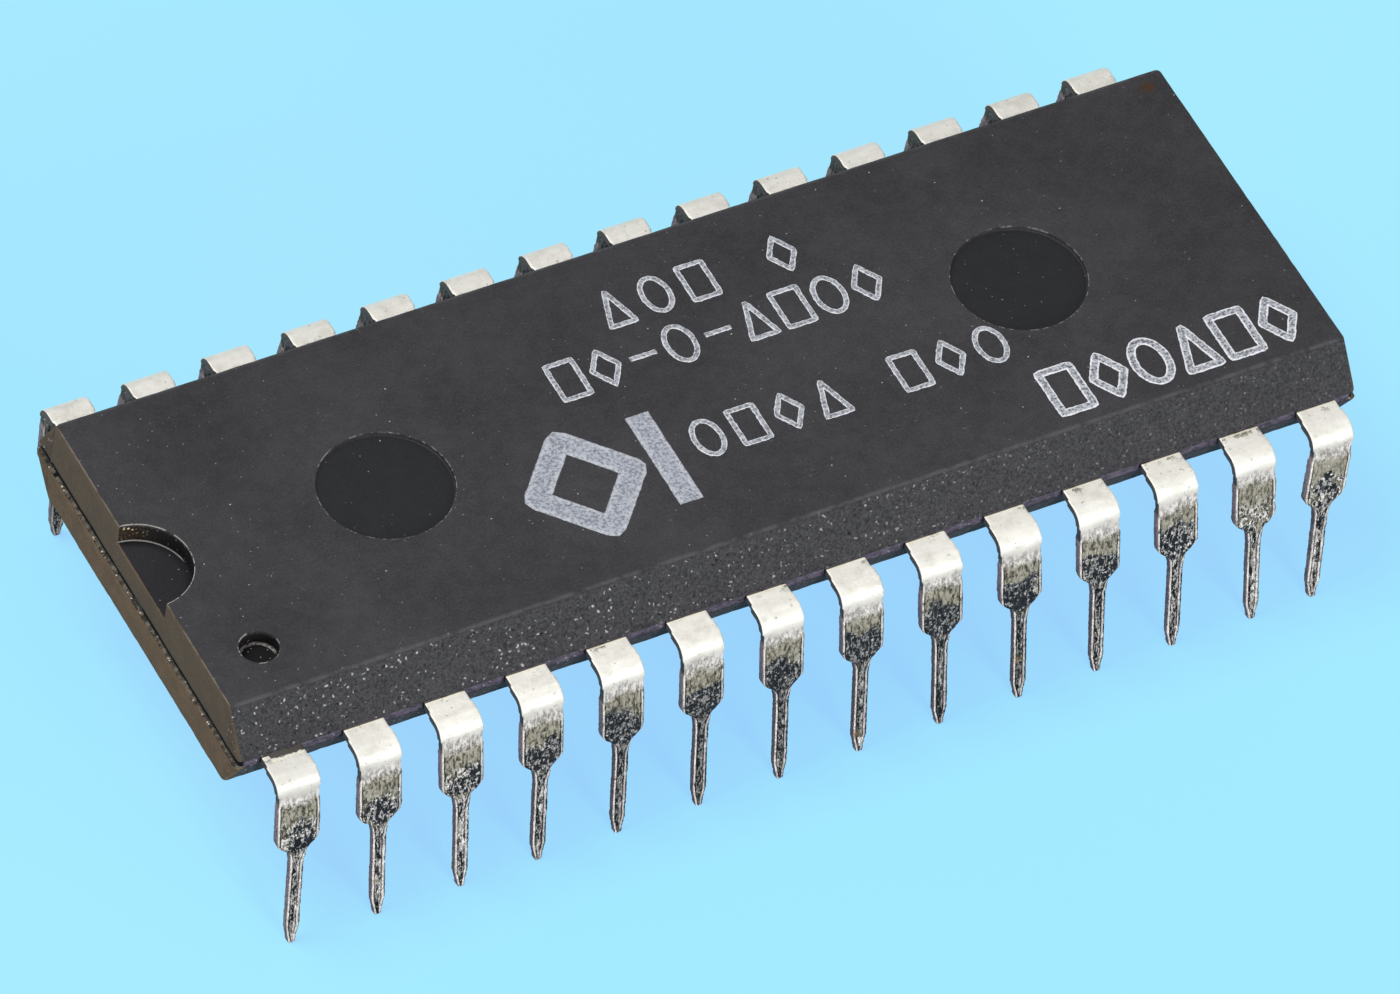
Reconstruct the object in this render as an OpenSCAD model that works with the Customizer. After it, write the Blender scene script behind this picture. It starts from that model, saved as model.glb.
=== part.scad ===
// Dual in-line packaged integrated circuit with 28 leads in two rows 15.24 mm apart.
// Axes: X along the body, -Y towards lead 1's row, +Z up. The origin is on the plane that
// the lead tips stand on, under the middle of the body.

/* [Moulded body] */
// Length of the body where its two halves meet
body_length = 35.7; // [35:0.1:37]
// Width of the body where its two halves meet
body_width = 13.1; // [12.6:0.1:13.6]
// Height of the upper half above the lead frame
upper_height = 1.5; // [1.4:0.05:2]
// Height of the lower half under the lead frame
lower_height = 1.4; // [1.2:0.05:2]
// Draft of the two long sides, in degrees
side_draft = 30; // [15:1:32]
// Draft of the two ends, in degrees
end_draft = 3; // [1:0.5:8]
// Step by which the band between the halves stands back
band_step = 0.05; // [0.02:0.01:0.1]
// Bevel along the top and bottom edges
edge_bevel = 0.08; // [0.02:0.01:0.15]

/* [Marks in the body] */
// Radius of the half-round notch that marks the lead 1 end
notch_radius = 1.7; // [1.2:0.05:2.2]
// Depth of the notch
notch_depth = 0.7; // [0.3:0.05:0.8]
// Diameter of the dimple beside lead 1
dimple_diameter = 1.16; // [0.6:0.02:1.6]
// Depth of the dimple
dimple_depth = 0.5; // [0.1:0.05:0.8]
// Dimple's distance from the body's end
dimple_from_end = 1.78; // [1:0.02:3]
// Dimple's distance from the centre line
dimple_from_middle = 4; // [3:0.1:4.6]
// Diameter of the ejector marks
ejector_diameter = 4; // [2:0.1:5]
// Distance between the two ejector marks
ejector_spacing = 20.3; // [14:0.1:24]
// Depth of the ejector marks
ejector_depth = 0.12; // [0.05:0.01:0.3]

/* [Leads] */
// Distance from one lead to the next
lead_pitch = 2.54; // [2.45:0.01:2.6]
// Thickness of the sheet that the lead frame is stamped from
sheet_thickness = 0.25; // [0.2:0.01:0.3]
// Width of a lead's shoulder
lead_width = 1.27; // [1.1:0.01:1.5]
// Width of the pin that goes into the board
pin_width = 0.46; // [0.38:0.01:0.56]
// Outer radius of the bend beside the body
bend_radius = 0.52; // [0.4:0.01:0.7]
// Flat length between the body's side and the bend
flat_length = 0.75; // [0.5:0.05:0.9]
// How far the lead's outer edge stands out at the cut tie bar
stub_width = 0.04; // [0.01:0.01:0.08]
// Length of the cut tie bar's stub, measured on the flat part
stub_length = 0.3; // [0.1:0.05:0.45]
// Height of the body's parting plane above the lead tips
parting_height = 5.98; // [5.5:0.02:6.5]
// Length of the wide leg under the bend
leg_length = 1.72; // [1.4:0.02:2]
// Length over which the leg narrows to the pin
shoulder_length = 0.52; // [0.4:0.02:0.7]
// Radius of the rounded corner at the end of the wide leg
shoulder_radius = 0.36; // [0.1:0.02:0.38]
// Length of the tapered tip
tip_length = 0.6; // [0.3:0.02:0.9]
// Width of the tip's end
tip_width = 0.2; // [0.1:0.02:0.3]
// Outward lean of the rows as they leave the forming tool, in degrees
row_splay = 8.5; // [0:0.5:9]

/* [Lead frame inside] */
// Length of a lead's anchored root inside the body's side
root_length = 1.1; // [0.8:0.05:1.3]
// Diameter of the locking hole in each root
lock_hole = 0.5; // [0.3:0.05:0.7]
// Width of the inner fingers
finger_width = 0.4; // [0.3:0.02:0.44]
// Distance between finger tips along the paddle's end
finger_pitch = 0.68; // [0.64:0.02:0.72]
// Gap between the paddle and the finger tips
finger_gap = 0.4; // [0.3:0.05:0.6]
// Length of the die paddle
paddle_length = 5.6; // [5:0.1:6]
// Width of the die paddle
paddle_width = 5.2; // [4.8:0.1:5.4]
// Depth by which the paddle is pressed down below the fingers
paddle_downset = 0.2; // [0.1:0.02:0.4]
// Width of the bars that tie the paddle to the frame's ends
tie_bar_width = 0.5; // [0.3:0.05:0.55]

/* [Die and wires] */
// Length of the silicon die
die_length = 4.3; // [3.5:0.1:4.5]
// Width of the silicon die
die_width = 4; // [3.5:0.1:4.2]
// Thickness of the silicon die
die_thickness = 0.38; // [0.3:0.02:0.45]
// Thickness of the layer that holds the die down
attach_thickness = 0.04; // [0.02:0.01:0.06]
// Width of that layer's edge round the die
attach_margin = 0.12; // [0.05:0.01:0.2]
// Diameter of the bond wires
wire_diameter = 0.033; // [0.025:0.001:0.04]
// Diameter of the ball on each bond pad
ball_diameter = 0.14; // [0.12:0.01:0.16]
// Thickness of the ball and of the flattened stitch
ball_thickness = 0.06; // [0.05:0.01:0.08]
// Height of a wire's arc above the line between its ends
loop_height = 0.34; // [0.25:0.01:0.45]
// Distance of the bond pads from the die's edge
pad_inset = 0.2; // [0.15:0.05:0.3]
// Distance of the stitch from the finger's tip
stitch_inset = 0.25; // [0.15:0.05:0.3]

/* [Hidden] */
leads_in_row = 14;
lead_count = 2 * leads_in_row;
end_fingers = 4;
side_fingers = leads_in_row / 2 - end_fingers;
side_finger_pitch = paddle_length / (2 * side_fingers);
// Sideways drift of each leg, and of its pin past that, in mm for each mm of its length.
leg_lean = [-0.02, -0.01, 0.01, 0, 0, 0, 0.01, 0.02, 0.02, 0.03, 0.03, 0.03, 0.03, -0.11,
            0, 0.02, -0.01, 0, 0.01, 0, -0.02, 0, 0.01, 0, 0, -0.01, 0.01, -0.02];
pin_lean = [-0.04, -0.01, -0.02, -0.03, -0.03, -0.02, -0.02, -0.03, -0.01, -0.02, -0.02, -0.04, -0.02, 0.06,
            0.02, -0.01, 0, 0.01, 0, -0.02, 0, 0.01, 0, 0.02, -0.01, 0, 0.01, -0.02];
// Lead 28 is pressed inwards, as are a few others slightly: degrees less than row_splay.
pressed_in = [0.4, 0.2, 0, 0.1, 0.2, 0.1, 0, 0.2, 0.1, 0, 0, 0, 0, 0.6,
              0.5, 0, 0.8, 0, 0, 1, 0, 0, 0.5, 0, 0, 1.2, 0.5, 6.5];

half = sheet_thickness / 2;
top_z = parting_height + half + upper_height;
bottom_z = parting_height - half - lower_height;
frame_top = parting_height + half;
side_y = body_width / 2 - band_step;
neutral_radius = bend_radius - half;
paddle_top = frame_top - paddle_downset;
attach_top = paddle_top + attach_thickness;
die_top = attach_top + die_thickness;
finger_start_y = paddle_width / 2 + finger_gap;
finger_start_x = paddle_length / 2 + finger_gap;
cut = 1;
round_steps = 6;
// A circle of 12 segments or fewer would be a true polygon, so all round things use more.
$fn = 48;

function lead_name(n) = str("lead_", n < 10 ? "0" : "", n);
function wire_name(n) = str("bond_wire_", n < 10 ? "0" : "", n);

// Lead n counts 1 to 14 along the front row and back along the other, seen from above.
function row_place(n) = (n - 1) % leads_in_row;
function lead_x(k) = (k - (leads_in_row - 1) / 2) * lead_pitch;
// Both halves of a row are mirror images, so a finger is worked out in the left half.
function left_place(k) = min(k, leads_in_row - 1 - k);
function at_end(k) = left_place(k) < end_fingers;
function finger_tip(k) =
    at_end(k)
        ? [-finger_start_x, -(tie_bar_width / 2 + finger_width + left_place(k) * finger_pitch)]
        : [-(leads_in_row / 2 - left_place(k) - 0.5) * side_finger_pitch, -finger_start_y];
function finger_knee(k) =
    at_end(k)
        ? [lead_x(left_place(k)) + (end_fingers - left_place(k)) * finger_pitch + lead_width, finger_tip(k)[1]]
        : [finger_tip(k)[0], -finger_start_y - finger_width * 2];
function finger_foot(k) = [lead_x(left_place(k)), -(body_width / 2 - root_length - finger_width)];

module place_lead(n) {
    rotate([0, 0, n > leads_in_row ? 180 : 0]) children();
}

// A strip of a given width with round ends, from one point to another.
module strip(from, to, width) {
    run = to - from;
    translate(from) rotate(atan2(run[1], run[0])) {
        translate([0, -width / 2]) square([norm(run), width]);
        circle(d = width);
        translate([norm(run), 0]) circle(d = width);
    }
}

// The stamped outline of a lead from the body's side inwards.
module root_and_finger_2d(k) {
    translate([lead_x(k), 0]) difference() {
        translate([-lead_width / 2, -side_y]) square([lead_width, root_length]);
        translate([0, -side_y + root_length / 2]) circle(d = lock_hole);
    }
    mirror([k < leads_in_row / 2 ? 0 : 1, 0]) {
        strip([lead_x(left_place(k)), -side_y + root_length - finger_width / 2], finger_foot(k), finger_width);
        strip(finger_foot(k), finger_knee(k), finger_width);
        strip(finger_knee(k), finger_tip(k), finger_width);
    }
}

module root_and_finger(n) {
    translate([0, 0, parting_height - half]) linear_extrude(sheet_thickness) root_and_finger_2d(row_place(n));
}

// Round corner points of a quarter turn, from one heading to the next.
function corner(centre, radius, from, to) =
    [for (i = [0 : round_steps]) centre + radius * [cos(from + (to - from) * i / round_steps),
                                                    sin(from + (to - from) * i / round_steps)]];
// Right edge of the leg and pin, from the bend down: [half width, length].
function leg_edge(length) = concat(
    [[lead_width / 2, 0]],
    corner([lead_width / 2 - shoulder_radius, leg_length], shoulder_radius, 0, 45),
    [[pin_width / 2 + 0.03, leg_length + shoulder_length - 0.03],
     [pin_width / 2, leg_length + shoulder_length + 0.08],
     [pin_width / 2, length - tip_length],
     [tip_width / 2, length]]
);
function drift(n, s) = leg_lean[n - 1] * s + pin_lean[n - 1] * max(0, s - leg_length - shoulder_length);
function leaned(n, points) = [for (p = points) [p[0] + drift(n, p[1]), p[1]]];
function reversed(points) = [for (i = [len(points) - 1 : -1 : 0]) points[i]];
function splay(n) = row_splay - pressed_in[n - 1];
// Length of the leg and pin that reaches the standing plane with its inner corner.
function leg_total(n) =
    (parting_height - neutral_radius * (1 - sin(splay(n))) - half * sin(splay(n))) / cos(splay(n));

module leg_2d(n) {
    edge = leg_edge(leg_total(n));
    polygon(leaned(n, concat(edge, reversed([for (p = edge) [-p[0], p[1]]]))));
}

// Flat part, bend and leg of one lead, with the stubs left by the cut tie bar.
module outer_lead(n) {
    turn = 90 - splay(n);
    stub_span = lead_width + 2 * stub_width;
    bend_y = -side_y - flat_length;
    translate([lead_x(row_place(n)), 0, 0]) {
        translate([-lead_width / 2, bend_y, parting_height - half])
            cube([lead_width, flat_length, sheet_thickness]);
        translate([-stub_span / 2, bend_y, parting_height - half])
            cube([stub_span, stub_length, sheet_thickness]);
        translate([0, bend_y, parting_height - neutral_radius]) {
            translate([-stub_span / 2, 0, 0]) rotate([90, 0, 90]) rotate([0, 0, 90])
                rotate_extrude(angle = turn) translate([neutral_radius - half, 0]) square([sheet_thickness, stub_span]);
            rotate([turn, 0, 0]) translate([0, 0, neutral_radius - half])
                mirror([0, 1, 0]) linear_extrude(sheet_thickness) leg_2d(n);
        }
    }
}

module lead(n) {
    color("gainsboro") place_lead(n) {
        root_and_finger(n);
        outer_lead(n);
    }
}

// The paddle is pressed down, so its two tie bars step up to the frame's level.
module die_paddle() {
    color("silver") {
        translate([-paddle_length / 2, -paddle_width / 2, paddle_top - sheet_thickness])
            cube([paddle_length, paddle_width, sheet_thickness]);
        for (turn = [0, 180]) rotate([0, 0, turn]) translate([0, tie_bar_width / 2, 0])
            rotate([90, 0, 0]) linear_extrude(tie_bar_width) polygon([
                [paddle_length / 2 - half, paddle_top], [paddle_length / 2 + finger_gap, paddle_top],
                [paddle_length / 2 + finger_gap + paddle_downset, frame_top],
                [body_length / 2 - band_step, frame_top],
                [body_length / 2 - band_step, frame_top - sheet_thickness],
                [paddle_length / 2 + finger_gap + paddle_downset, frame_top - sheet_thickness],
                [paddle_length / 2 + finger_gap, paddle_top - sheet_thickness],
                [paddle_length / 2 - half, paddle_top - sheet_thickness]
            ]);
    }
}

module die_attach() {
    color("dimgray") translate([-die_length / 2 - attach_margin, -die_width / 2 - attach_margin, paddle_top])
        cube([die_length + 2 * attach_margin, die_width + 2 * attach_margin, attach_thickness]);
}

module die() {
    color("slategray") translate([-die_length / 2, -die_width / 2, attach_top])
        cube([die_length, die_width, die_thickness]);
}

// Bond pads stand along the die's edges in the order of the fingers.
function pad(k) =
    at_end(k)
        ? [-die_length / 2 + pad_inset, -(left_place(k) + 0.5) * (die_width / 2 - pad_inset) / (end_fingers + 0.5)]
        : [-(leads_in_row / 2 - left_place(k) - 0.5) * (die_length / 2 - pad_inset) / (side_fingers + 0.5),
           -die_width / 2 + pad_inset];
function stitch(k) = finger_tip(k) + (at_end(k) ? [-stitch_inset, 0] : [0, -stitch_inset]);

// One wire: a ball on the die's pad, a single arc, and a flattened stitch on the finger.
module bond_wire(n) {
    k = row_place(n);
    run = stitch(k) - pad(k);
    start = [0, die_top + ball_thickness / 2];
    end = [norm(run), frame_top + ball_thickness / 2];
    chord = norm(end - start);
    arc_radius = (chord * chord / 4 + loop_height * loop_height) / (2 * loop_height);
    fall = atan2(start[1] - end[1], end[0] - start[0]);
    half_turn = asin(chord / 2 / arc_radius);
    middle = (start + end) / 2 - (arc_radius - loop_height) * [sin(fall), cos(fall)];
    color("gold") place_lead(n) mirror([k < leads_in_row / 2 ? 0 : 1, 0, 0])
        translate([pad(k)[0], pad(k)[1], 0]) rotate([0, 0, atan2(run[1], run[0])]) {
            translate([0, 0, die_top]) cylinder(d = ball_diameter, h = ball_thickness);
            translate([end[0], 0, frame_top]) cylinder(d = ball_diameter, h = ball_thickness);
            translate([middle[0], 0, middle[1]]) rotate([90, 0, 0]) rotate([0, 0, 90 - fall - half_turn])
                rotate_extrude(angle = 2 * half_turn) translate([arc_radius, 0]) circle(d = wire_diameter);
        }
}

// A block whose sides and ends lean in with height, with its top edge bevelled.
module drafted_half(height) {
    side_in = height * tan(side_draft);
    end_in = height * tan(end_draft);
    intersection() {
        translate([-body_length / 2 - cut, 0, 0]) rotate([90, 0, 90]) linear_extrude(body_length + 2 * cut)
            half_profile(body_width / 2, side_in, height);
        translate([0, body_width / 2 + cut, 0]) rotate([90, 0, 0]) linear_extrude(body_width + 2 * cut)
            half_profile(body_length / 2, end_in, height);
    }
}
module half_profile(reach, lean, height) {
    polygon([[-reach, 0], [reach, 0], [reach - lean * (height - edge_bevel) / height, height - edge_bevel],
             [reach - lean - edge_bevel, height], [-reach + lean + edge_bevel, height],
             [-reach + lean * (height - edge_bevel) / height, height - edge_bevel]]);
}

module ejector_marks() {
    for (side = [-1, 1]) translate([side * ejector_spacing / 2, 0, 0]) {
        translate([0, 0, top_z - ejector_depth]) cylinder(d = ejector_diameter, h = ejector_depth + cut);
        translate([0, 0, bottom_z - cut]) cylinder(d = ejector_diameter, h = ejector_depth + cut);
    }
}

module body() {
    color([0.16, 0.16, 0.17]) difference() {
        union() {
            translate([0, 0, frame_top]) drafted_half(upper_height);
            translate([-body_length / 2 + band_step, -side_y, parting_height - half])
                cube([body_length - 2 * band_step, 2 * side_y, sheet_thickness]);
            translate([0, 0, parting_height - half]) mirror([0, 0, 1]) drafted_half(lower_height);
        }
        ejector_marks();
        translate([-body_length / 2 + upper_height * tan(end_draft), 0, top_z - notch_depth])
            cylinder(r = notch_radius, h = notch_depth + cut);
        translate([-body_length / 2 + dimple_from_end, -dimple_from_middle, top_z - dimple_depth])
            cylinder(d = dimple_diameter, h = dimple_depth + cut);
        for (n = [1 : lead_count]) {
            place_lead(n) root_and_finger(n);
            bond_wire(n);
        }
        die_paddle();
        die_attach();
        die();
    }
}

body();
die_paddle();
die_attach();
die();
for (n = [1 : lead_count]) lead(n);
for (n = [1 : lead_count]) bond_wire(n);
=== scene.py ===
import math

import bmesh
import bpy
from bpy.props import FloatProperty, FloatVectorProperty, PointerProperty
from bpy.types import Operator, Panel, PropertyGroup
from mathutils import Matrix, Vector, noise


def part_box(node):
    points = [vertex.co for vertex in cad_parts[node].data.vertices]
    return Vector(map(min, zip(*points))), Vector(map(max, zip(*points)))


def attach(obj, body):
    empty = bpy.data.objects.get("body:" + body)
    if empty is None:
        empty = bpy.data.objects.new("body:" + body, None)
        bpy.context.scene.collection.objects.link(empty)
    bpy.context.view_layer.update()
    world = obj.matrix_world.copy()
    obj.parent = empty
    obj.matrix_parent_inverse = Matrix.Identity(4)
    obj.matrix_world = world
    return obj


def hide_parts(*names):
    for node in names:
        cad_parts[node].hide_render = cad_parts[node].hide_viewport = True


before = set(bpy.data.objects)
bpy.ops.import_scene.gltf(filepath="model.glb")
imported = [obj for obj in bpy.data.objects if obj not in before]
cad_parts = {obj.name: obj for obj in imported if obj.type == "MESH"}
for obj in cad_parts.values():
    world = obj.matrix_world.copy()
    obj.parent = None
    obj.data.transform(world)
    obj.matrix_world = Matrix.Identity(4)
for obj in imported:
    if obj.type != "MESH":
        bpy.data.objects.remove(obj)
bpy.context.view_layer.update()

bl_info = {
    "name": "Moulded chip package",
    "version": (1, 0, 0),
    "blender": (4, 5, 0),
    "location": "View3D > Sidebar > Chip",
    "description": "Dresses a 28-lead moulded chip package: grainy epoxy, tinned leads, print and studio",
    "category": "Object",
}

# Sizes are worked out in millimetres and written to the meshes in metres.
MM = 1000.0
LEAD_NAMES = sorted(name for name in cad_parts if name.startswith("lead_"))
WIRE_NAMES = sorted(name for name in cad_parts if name.startswith("bond_wire_"))


def box_mm(node):
    """Lowest and highest corner of a CAD node, in millimetres."""
    low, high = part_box(node)
    return Vector(low) * MM, Vector(high) * MM


BODY_LOW, BODY_HIGH = box_mm("body")
HALF_LENGTH = BODY_HIGH.x
HALF_WIDTH = BODY_HIGH.y
TOP_Z = BODY_HIGH.z
BOTTOM_Z = BODY_LOW.z
FRAME_TOP_Z = box_mm("die_paddle")[1].z
SHEET = 0.25
FRAME_LOW_Z = FRAME_TOP_Z - SHEET
SIDE_DRAFT = math.radians(30)
END_DRAFT = math.radians(3)
BAND_STEP = 0.05
# The notch's middle lies just outside the end.
NOTCH_RADIUS = 1.56
NOTCH_X = -HALF_LENGTH - 0.03
NOTCH_DEPTH = 0.7
DIMPLE_RADIUS = 0.58
DIMPLE_DEPTH = 0.5
DIMPLE_X = -HALF_LENGTH + 1.78
DIMPLE_Y = -4.0
EJECTOR_RADIUS = 2.0
EJECTOR_X = 10.15
EJECTOR_DEPTH = 0.12
STAIN_X, STAIN_Y = 17.1, 5.15
# Heights on a lead: the solder dip's edge, the start of the pin and the end of the wide leg's shoulders.
DIP_Z = FRAME_TOP_Z - 0.9
PIN_Z = FRAME_TOP_Z - 2.6
SHOULDER_LOW_Z, SHOULDER_HIGH_Z = 2.9, 3.4
# How much of a lead's root stays inside the moulding, and the slices in which its width is measured.
ROOT_KEPT = 0.15
WIDTH_STEP = 0.08
MERGE_DISTANCE = 0.0005
SHARP_ANGLE = math.radians(38)
# Print: the strokes' steps, sides and raggedness, and a shape's width over its height.
STROKE_STEP = 0.05
STROKE_SIDES = 16
INK_FRAY = 0.09
SHAPE_WIDTH_SHARE = 0.62
# Stage, in metres: half the floor, each lamp's place and width, and what the lamps and the camera look at.
FLOOR_HALF = 0.6
KEY_PLACE, KEY_WIDTH = (-0.16, 0.10, 0.42), 0.26
FILL_PLACE, FILL_WIDTH = (0.02, -0.4, 0.14), 0.16
LAMP_TARGET = (0, 0, 0.004)
VIEW_TARGET = (-0.000669, -0.00155, 0.004509)
SENSOR_WIDTH_MM = 36


class Sock:
    """A node socket that takes part in plain arithmetic."""

    def __init__(self, graph, socket):
        self.graph = graph
        self.socket = socket

    def _math(self, operation, first, second=None):
        inputs = {0: first} if second is None else {0: first, 1: second}
        return self.graph.add("ShaderNodeMath", {"operation": operation}, inputs).out()

    def __add__(self, other):
        return self._math("ADD", self, other)

    def __radd__(self, other):
        return self._math("ADD", other, self)

    def __sub__(self, other):
        return self._math("SUBTRACT", self, other)

    def __rsub__(self, other):
        return self._math("SUBTRACT", other, self)

    def __mul__(self, other):
        return self._math("MULTIPLY", self, other)

    def __rmul__(self, other):
        return self._math("MULTIPLY", other, self)

    def __truediv__(self, other):
        return self._math("DIVIDE", self, other)

    def __abs__(self):
        return self._math("ABSOLUTE", self)

    def least(self, other):
        return self._math("MINIMUM", self, other)

    def most(self, other):
        return self._math("MAXIMUM", self, other)

    def clamped(self):
        return self.least(1.0).most(0.0)

    def ramp(self, low, high):
        """0 at low and 1 at high, smoothly; low may be above high."""
        at_least, at_most = (1.0, 0.0) if low > high else (0.0, 1.0)
        inputs = {0: self, 1: min(low, high), 2: max(low, high), 3: at_least, 4: at_most}
        return self.graph.add("ShaderNodeMapRange", {"interpolation_type": "SMOOTHSTEP"}, inputs).out()


class Step:
    """A node that was just made, with its outputs by number or name."""

    def __init__(self, graph, node):
        self.graph = graph
        self.node = node

    def out(self, key=0):
        return Sock(self.graph, self.node.outputs[key])


class Graph:
    """Builds the nodes of one material or one Geometry Nodes tree."""

    def __init__(self, tree):
        self.tree = tree

    def add(self, kind, settings=None, inputs=None):
        node = self.tree.nodes.new(kind)
        for name, value in (settings or {}).items():
            setattr(node, name, value)
        for key, value in (inputs or {}).items():
            self.feed(node.inputs[key], value)
        return Step(self, node)

    def feed(self, socket, value):
        if isinstance(value, Sock):
            self.tree.links.new(value.socket, socket)
        elif value is not None:
            socket.default_value = value

    def split(self, vector):
        parts = self.add("ShaderNodeSeparateXYZ", None, {0: vector})
        return parts.out(0), parts.out(1), parts.out(2)

    def join(self, x, y, z):
        return self.add("ShaderNodeCombineXYZ", None, {0: x, 1: y, 2: z}).out()

    def vector(self, operation, first, second=None, scale=None):
        inputs = {0: first}
        if second is not None:
            inputs[1] = second
        if scale is not None:
            inputs["Scale"] = scale
        return self.add("ShaderNodeVectorMath", {"operation": operation}, inputs).out(0)

    def length(self, vector):
        return self.add("ShaderNodeVectorMath", {"operation": "LENGTH"}, {0: vector}).out(1)

    def noise(self, vector, scale, detail=2.0, roughness=0.5):
        inputs = {"Vector": vector, "Scale": scale, "Detail": detail, "Roughness": roughness}
        return self.add("ShaderNodeTexNoise", None, inputs).out(0)

    def cells(self, vector, scale):
        """Distance to the nearest cell point, and that cell's own random value."""
        step = self.add("ShaderNodeTexVoronoi", None, {"Vector": vector, "Scale": scale})
        red = self.add("ShaderNodeSeparateColor", None, {0: step.out(1)}).out(0)
        return step.out(0), red

    def specks(self, vector, scale, radius, share):
        """1 inside small round specks that only a share of the cells carry."""
        distance, value = self.cells(vector, scale)
        return distance.ramp(radius, radius * 0.4) * value.ramp(share, share - 0.02)

    def mix(self, factor, first, second):
        """Goes from the first colour to the second as the factor goes from 0 to 1."""
        node = self.tree.nodes.new("ShaderNodeMix")
        node.data_type = "RGBA"
        by_name = {socket.identifier: socket for socket in node.inputs}
        self.feed(by_name["Factor_Float"], factor)
        self.feed(by_name["A_Color"], linear_color(first))
        self.feed(by_name["B_Color"], linear_color(second))
        result = [socket for socket in node.outputs if socket.identifier == "Result_Color"][0]
        return Sock(self, result)


def linear_color(color):
    """A written colour of three sRGB parts, 0 to 255, as the linear one that nodes take; else as it is."""
    if not isinstance(color, tuple) or len(color) != 3:
        return color
    parts = [part / 255 for part in color]
    return (*(part / 12.92 if part <= 0.04045 else ((part + 0.055) / 1.055) ** 2.4 for part in parts), 1.0)


class Finish:
    """A material in the making: its graph, its object coordinates in mm and its shader."""

    def __init__(self, name, specular=0.5):
        self.material = bpy.data.materials.new(name)
        self.material.use_nodes = True
        self.graph = Graph(self.material.node_tree)
        self.shader = self.material.node_tree.nodes["Principled BSDF"]
        self.shader.inputs["Specular IOR Level"].default_value = specular
        place = self.graph.add("ShaderNodeTexCoord").out("Object")
        self.place = self.graph.vector("SCALE", place, scale=MM)
        self.x, self.y, self.z = self.graph.split(self.place)
        self.color = None

    def stretched(self, *scales):
        """The place with each axis scaled."""
        return self.graph.vector("MULTIPLY", self.place, scales)

    def streaks(self, scales, detail, roughness=0.5):
        """Noise that is finer along some axes than others."""
        return self.graph.noise(self.stretched(*scales), 1.0, detail, roughness)

    def warped(self, scale, amount_mm):
        """The place pushed about by noise, which makes round specks irregular."""
        g = self.graph
        cloud = g.add("ShaderNodeTexNoise", None, {"Vector": self.place, "Scale": scale, "Detail": 2.0})
        centred = g.vector("SUBTRACT", cloud.out(1), (0.5, 0.5, 0.5))
        return g.vector("ADD", self.place, g.vector("SCALE", centred, scale=amount_mm))

    def noise(self, scale, detail=2.0, roughness=0.5):
        return self.graph.noise(self.place, scale, detail, roughness)

    def specks(self, scale, radius, share):
        return self.graph.specks(self.place, scale, radius, share)

    def paint(self, share, color):
        """Lays a colour over the finish so far, where its share is 1."""
        self.color = self.graph.mix(share, self.color, color)

    def stored(self, name):
        """A value that the mesh itself carries at each point."""
        return self.graph.add("ShaderNodeAttribute", {"attribute_name": name}).out("Fac")

    def set(self, name, value):
        self.graph.feed(self.shader.inputs[name], value)

    def bump(self, height, depth_mm):
        inputs = {"Height": height, "Distance": depth_mm / MM, "Strength": 1.0}
        self.set("Normal", self.graph.add("ShaderNodeBump", None, inputs).out())


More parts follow.
